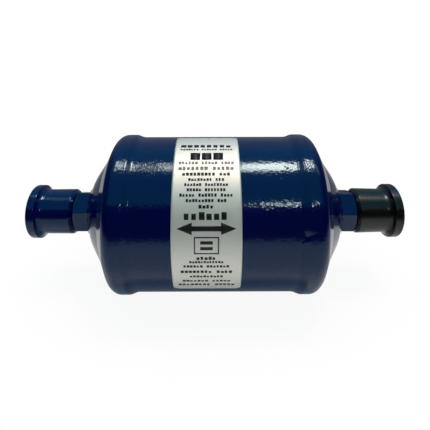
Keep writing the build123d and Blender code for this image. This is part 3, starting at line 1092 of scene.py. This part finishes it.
def wound(name, x0, x1, coil_r, turns, wire):
    """Round wire wound on the flow axis from x0 to x1: at angle a its middle is
    (x, R cos a, R sin a), with x in step with a, and its skin is a circle square to its run."""
    steps_a_turn, wire_sides = 48, 12
    a = np.linspace(0, 2 * pi * turns, int(steps_a_turn * turns) + 1)
    x = np.linspace(x0 + wire / 2, x1 - wire / 2, len(a))
    middle = np.stack([x, coil_r * np.cos(a), coil_r * np.sin(a)], -1)
    along = np.gradient(middle, axis=0)
    along /= np.linalg.norm(along, axis=1, keepdims=True)
    out = np.stack([0 * a, np.cos(a), np.sin(a)], -1)
    side = np.cross(along, out)
    turn = np.linspace(0, 2 * pi, wire_sides, endpoint=False)[:, None]
    circle = np.cos(turn) * out[:, None] + np.sin(turn) * side[:, None]
    skin = middle[:, None] + wire / 2 * circle
    ends = np.repeat(middle[[0, -1], None], wire_sides, 1)
    return grid_mesh(name, np.concatenate([ends[:1], skin, ends[1:]]), wrap_rows=False)


class DRIER_OT_springs(bpy.types.Operator):
    """Winds the valve springs at the length of the imported springs"""

    bl_idname = "drier.springs"
    bl_label = "Wind springs"

    def execute(self, context):
        """An outlet spring stands on the cage outside it, and an inlet spring on the seat inside
        it. The wire's middle runs from half a wire in from either end."""
        springs = context.scene.drier_springs
        for kind, mover, coil_r, turns in (
            ("outlet", "outlet_disc", springs.outlet_coil_r, springs.outlet_turns),
            ("inlet", "inlet_ring", springs.inlet_coil_r, springs.inlet_turns),
        ):
            x0, x1 = (end(f"{kind}_spring_right", 0) * MM for end in (low, high))

            def build(name, side):
                return wound(name, x0, x1, coil_r, turns, springs.wire)

            for side, mesh in both_ends(f"{kind}_coil", build):
                node = f"{kind}_spring_{side}"
                piece = finished_piece(mesh, spring_wire(), "spring_steel", node, None)
                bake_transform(piece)
        return {"FINISHED"}


class DRIER_OT_inner(bpy.types.Operator):
    """Gives the valves, plates, bushings and the desiccant block inside the shell their finishes"""

    bl_idname = "drier.inner"
    bl_label = "Finish inner pieces"

    def execute(self, context):
        finish = context.scene.drier_finish
        finishes = {
            "plated_steel": bright_metal(
                "zinc_plated_sheet", finish.zinc, lines=0.5, roughness=0.3
            ),
            "spring_steel": spring_wire(),
            "brass": bright_metal("turned_brass", finish.brass, lines=0.2, roughness=0.22),
            "valve_polymer": grainy(
                "natural_nylon", finish.nylon, grain=0.8, depth=0.005, roughness=0.4
            ),
            "desiccant": grainy(
                "bonded_desiccant_beads",
                finish.desiccant,
                grain=1.2,
                depth=0.25,
                roughness=0.85,
                beads=True,
            ),
            "felt": grainy("filter_felt", finish.felt, grain=0.3, depth=0.1, roughness=0.95),
            "gasket_rubber": grainy(
                "nitrile_rubber", finish.rubber, grain=0.6, depth=0.01, roughness=0.6
            ),
        }
        for part in frame["record"]["subparts"]:
            if part["material_slot"] in finishes:
                materials = frame["nodes"][part["node"]].data.materials
                materials.clear()
                materials.append(finishes[part["material_slot"]])
        return {"FINISHED"}


# Stage


def floor_material(stage, finish):
    """Matt laminate of a pale table top with a painted pool of light: its colour fades to dark with
    distance, so the drier mirrors a bright middle and dark sides. It glows a little, painted light
    that stands in for the light of the wider room. Seen by the camera it fades to plain white
    outside the drier's shadow."""
    far_share, painted_room_glow, backdrop_grey = 0.04, 0.13, 0.95
    squeeze, shadow_r0, shadow_r1, least_white = 0.55, 50 * MM, 80 * MM, 0.93
    material, tree = new_tree("pale_table")
    place = add(tree, "ShaderNodeTexCoord").outputs["Object"]
    # Painted pool of light: the floor's colour, and its emission with it, fall to a small share with
    # distance from the pool's middle.
    gap = {0: place, 1: (0, stage.painted_pool_y, 0)}
    reach = add(tree, "ShaderNodeVectorMath", gap, operation="DISTANCE").outputs["Value"]
    span = {"From Min": stage.painted_pool_r0, "From Max": stage.painted_pool_r1}
    fall = {"Value": reach, **span, "To Min": 1.0, "To Max": far_share}
    pool = add(tree, "ShaderNodeMapRange", fall, interpolation_type="SMOOTHSTEP")
    shade = {0: finish.floor, "Scale": pool.outputs[0]}
    lit = add(tree, "ShaderNodeVectorMath", shade, operation="SCALE").outputs[0]
    speckle = add(tree, "ShaderNodeTexNoise", {"Vector": place, "Scale": per(3), "Detail": 2.0})
    grain = {"Value": speckle.outputs["Fac"], "To Min": 0.6, "To Max": 0.7}
    rough = add(tree, "ShaderNodeMapRange", grain).outputs[0]
    # The floor's emission is painted light, standing in for the wider room's light, and it follows
    # the painted pool.
    painted_glow = {"Emission Color": lit, "Emission Strength": painted_room_glow}
    sockets = {"Base Color": lit, "Roughness": rough, **painted_glow}
    matt = add(tree, "ShaderNodeBsdfPrincipled", sockets)
    seen = add(tree, "ShaderNodeBsdfDiffuse", {"Color": opaque((backdrop_grey,) * 3)})
    white = add(tree, "ShaderNodeEmission", {"Color": (1, 1, 1, 1), "Strength": 1.0})
    oval = {0: place, 1: (squeeze, 1, 1)}
    flattened = add(tree, "ShaderNodeVectorMath", oval, operation="MULTIPLY")
    away = add(tree, "ShaderNodeVectorMath", {0: flattened.outputs[0]}, operation="LENGTH")
    span = {"From Min": shadow_r0, "From Max": shadow_r1}
    fall = {"Value": away.outputs["Value"], **span, "To Min": least_white}
    fade = add(tree, "ShaderNodeMapRange", fall, interpolation_type="SMOOTHSTEP")
    mix = {0: fade.outputs[0], 1: seen.outputs[0], 2: white.outputs[0]}
    backdrop = add(tree, "ShaderNodeMixShader", mix)
    eye = add(tree, "ShaderNodeLightPath").outputs["Is Camera Ray"]
    both = add(tree, "ShaderNodeMixShader", {0: eye, 1: matt.outputs[0], 2: backdrop.outputs[0]})
    add(tree, "ShaderNodeOutputMaterial", {"Surface": both.outputs[0]})
    return material


# The room's walls: degrees from -Y over the top, and linear red, green and blue there.
WALLS = (
    (-180, (0.20, 0.23, 0.25)),
    (-90, (0.03, 0.03, 0.03)),
    (37, (0.03, 0.03, 0.03)),
    (42, (0.09, 0.41, 0.50)),
    (62, (0.07, 0.36, 0.45)),
    (86, (0.08, 0.41, 0.50)),
    (96, (0.12, 0.50, 0.66)),
    (128, (0.12, 0.46, 0.66)),
    (150, (0.22, 0.29, 0.36)),
    (180, (0.20, 0.23, 0.25)),
)
# The walls' ends: how far to a side in the sky they start and stop to darken, as the sine of that
# angle, and the share that is left.
WALL_ENDS = (0.45, 0.85, 0.15)
# The strip lamp along its length: how far to the right in the sky, as the sine of that angle,
# and its share of light there.
LAMP_STOPS = (
    ((-0.434, 0.0), (-0.43, 0.15), (-0.417, 0.15), (-0.413, 0.0))
    + ((-0.362, 0.0), (-0.358, 0.15), (-0.354, 0.0))
    + ((-0.3, 0.0), (-0.27, 0.5), (-0.23, 0.6), (-0.205, 0.0))
    + ((-0.15, 0.0), (-0.135, 0.1), (-0.118, 0.9), (-0.1, 1.0), (-0.09, 0.05))
    + ((0.055, 0.05), (0.07, 1.0), (0.22, 1.0), (0.28, 0.07), (0.5, 0.05), (0.75, 0.0))
)
# Middle, half width and soft edge of the lamp and of the window edge, in degrees from -Y over the
# top, and the window edge's to the right, as sines.
STRIP = (97.5, 3.6, 5.0)
GLINT_RISE = (40, 0.4, 0.6)
GLINT_REACH = (0.19, 0.028, 0.014)


def ramp_of(tree, share, stops):
    """A colour ramp over `share`, with (position, colour) stops."""
    node = add(tree, "ShaderNodeValToRGB", {0: share})
    for end, (place, rgb) in ((0, stops[0]), (-1, stops[-1])):
        node.color_ramp.elements[end].position = place
        node.color_ramp.elements[end].color = opaque(rgb)
    for place, rgb in stops[1:-1]:
        node.color_ramp.elements.new(place).color = opaque(rgb)
    return node.outputs[0]


def band(tree, value, middle, half, edge):
    """1 within `half` of the middle, falling to 0 over `edge`."""
    off = add(tree, "ShaderNodeMath", {0: value, 1: middle}, operation="SUBTRACT")
    size = add(tree, "ShaderNodeMath", {0: off.outputs[0]}, operation="ABSOLUTE").outputs[0]
    span = {"From Min": half, "From Max": half + edge}
    fall = {"Value": size, **span, "To Min": 1.0, "To Max": 0.0}
    return add(tree, "ShaderNodeMapRange", fall, interpolation_type="SMOOTHSTEP").outputs[0]


def room_light(world, stage):
    """A plain room as a function of direction: angle p from -Y over the top, and reach x to the
    right, both worked out from the direction's own coordinates.

    It is dark in front and below, and teal from low above the front to behind. Its walls darken
    to both sides. A strip lamp just past overhead runs from side to side, in bright and dark
    stretches, and a thin bright edge of a window stands low on the right.
    """
    world.use_nodes = True
    tree = world.node_tree
    tree.nodes.clear()
    aim = add(tree, "ShaderNodeTexCoord").outputs["Generated"]
    parts = add(tree, "ShaderNodeSeparateXYZ", {0: aim})
    x, y, z = (parts.outputs[axis] for axis in "XYZ")
    toward = add(tree, "ShaderNodeMath", {0: y, 1: -1.0}, operation="MULTIPLY").outputs[0]
    p = add(tree, "ShaderNodeMath", {0: z, 1: toward}, operation="ARCTAN2").outputs[0]
    p_share = add(tree, "ShaderNodeMapRange", {"Value": p, "From Min": -pi, "From Max": pi})
    walls = ramp_of(tree, p_share.outputs[0], [(0.5 + turn / 360, rgb) for turn, rgb in WALLS])
    sideways = add(tree, "ShaderNodeMath", {0: x}, operation="ABSOLUTE").outputs[0]
    fall = dict(zip(("From Min", "From Max", "To Max"), WALL_ENDS))
    side = add(tree, "ShaderNodeMapRange", {"Value": sideways, "To Min": 1.0, **fall})
    faded = {0: walls, "Scale": side.outputs[0]}
    walls = add(tree, "ShaderNodeVectorMath", faded, operation="SCALE").outputs[0]
    x_share = add(tree, "ShaderNodeMapRange", {"Value": x, "From Min": -1.0}).outputs[0]
    stops = [(0.5 + reach / 2, (share,) * 3) for reach, share in LAMP_STOPS]
    across = ramp_of(tree, x_share, stops)
    strip = band(tree, p, *map(radians, STRIP))
    lit = add(tree, "ShaderNodeMath", {0: strip, 1: across}, operation="MULTIPLY").outputs[0]
    lamp = add(tree, "ShaderNodeMath", {0: lit, 1: stage.lamp}, operation="MULTIPLY").outputs[0]
    pane = {0: band(tree, p, *map(radians, GLINT_RISE)), 1: band(tree, x, *GLINT_REACH)}
    edge = add(tree, "ShaderNodeMath", pane, operation="MULTIPLY").outputs[0]
    glare = {0: edge, 1: stage.glint, 2: lamp}
    strength = add(tree, "ShaderNodeMath", glare, operation="MULTIPLY_ADD").outputs[0]
    tinted = {0: tuple(stage.lamp_tint), "Scale": strength}
    bright = add(tree, "ShaderNodeVectorMath", tinted, operation="SCALE").outputs[0]
    room = add(tree, "ShaderNodeVectorMath", {0: walls, 1: bright}, operation="ADD").outputs[0]
    plain = add(tree, "ShaderNodeBackground", {"Color": room, "Strength": 1.0})
    white = add(tree, "ShaderNodeBackground", {"Color": (1, 1, 1, 1), "Strength": 1.0})
    eye = add(tree, "ShaderNodeLightPath").outputs["Is Camera Ray"]
    both = add(tree, "ShaderNodeMixShader", {0: eye, 1: plain.outputs[0], 2: white.outputs[0]})
    add(tree, "ShaderNodeOutputWorld", {"Surface": both.outputs[0]})


class DRIER_OT_stage(bpy.types.Operator):
    """Sets the floor, the light and the camera"""

    bl_idname = "drier.stage"
    bl_label = "Set stage"

    def execute(self, context):
        scene = context.scene
        stage = scene.drier_stage
        quarters = ((-1, -1), (1, -1), (1, 1), (-1, 1))
        reach = stage.floor_reach
        corners = [(x * reach, y * reach, stage.floor_z) for x, y in quarters]
        mesh = new_mesh("table_top", corners, [(0, 1, 2, 3)])
        mesh.materials.append(floor_material(stage, scene.drier_finish))
        floor = bpy.data.objects.new("table_top", mesh)
        scene.collection.objects.link(floor)
        scene.world = scene.world or bpy.data.worlds.new("room")
        room_light(scene.world, stage)
        camera = bpy.data.cameras.new("camera")
        camera.lens = stage.eye_lens
        camera.sensor_width = 36
        camera.shift_x = stage.shift_x
        camera.shift_y = stage.shift_y
        camera.clip_start = 10 * MM
        eye = bpy.data.objects.new("camera", camera)
        toward_front = stage.eye_distance * cos(stage.eye_rise)
        eye.location = (stage.eye_x, -toward_front, stage.eye_distance * sin(stage.eye_rise))
        eye.rotation_mode = "ZXY"
        eye.rotation_euler = (pi / 2 - stage.eye_pitch, 0, stage.eye_roll)
        scene.collection.objects.link(eye)
        scene.camera = eye
        scene.view_settings.view_transform = "Standard"
        return {"FINISHED"}


# Panel and registration

GROUPS = {
    "drier_shell": DrierShell,
    "drier_fitting": DrierFitting,
    "drier_cap": DrierCap,
    "drier_springs": DrierSprings,
    "drier_label": DrierLabel,
    "drier_finish": DrierFinish,
    "drier_stage": DrierStage,
}
OPERATORS = (
    DRIER_OT_shell,
    DRIER_OT_heads,
    DRIER_OT_seams,
    DRIER_OT_beads,
    DRIER_OT_fittings,
    DRIER_OT_caps,
    DRIER_OT_label,
    DRIER_OT_print,
    DRIER_OT_springs,
    DRIER_OT_inner,
    DRIER_OT_stage,
)


class DRIER_PT_sidebar(bpy.types.Panel):
    """Lists the drier's sizes, colours and pieces"""

    bl_label = "Filter drier"
    bl_idname = "DRIER_PT_sidebar"
    bl_space_type = "VIEW_3D"
    bl_region_type = "UI"
    bl_category = "Drier"

    def draw(self, context):
        for group_name, group in GROUPS.items():
            box = self.layout.box()
            box.label(text=group_name.replace("_", " "))
            for size in group.__annotations__:
                box.prop(getattr(context.scene, group_name), size)
        for operator in OPERATORS:
            self.layout.operator(operator.bl_idname)


def register():
    for group_name, group in GROUPS.items():
        bpy.utils.register_class(group)
        setattr(bpy.types.Scene, group_name, bpy.props.PointerProperty(type=group))
    for operator in OPERATORS:
        bpy.utils.register_class(operator)
    bpy.utils.register_class(DRIER_PT_sidebar)


def unregister():
    bpy.utils.unregister_class(DRIER_PT_sidebar)
    for operator in reversed(OPERATORS):
        bpy.utils.unregister_class(operator)
    for group_name, group in reversed(GROUPS.items()):
        delattr(bpy.types.Scene, group_name)
        bpy.utils.unregister_class(group)


def main():
    register()
    for operator in OPERATORS:
        step = operator.bl_idname.split(".")[1]
        getattr(bpy.ops.drier, step)()


if __name__ == "__main__":
    main()
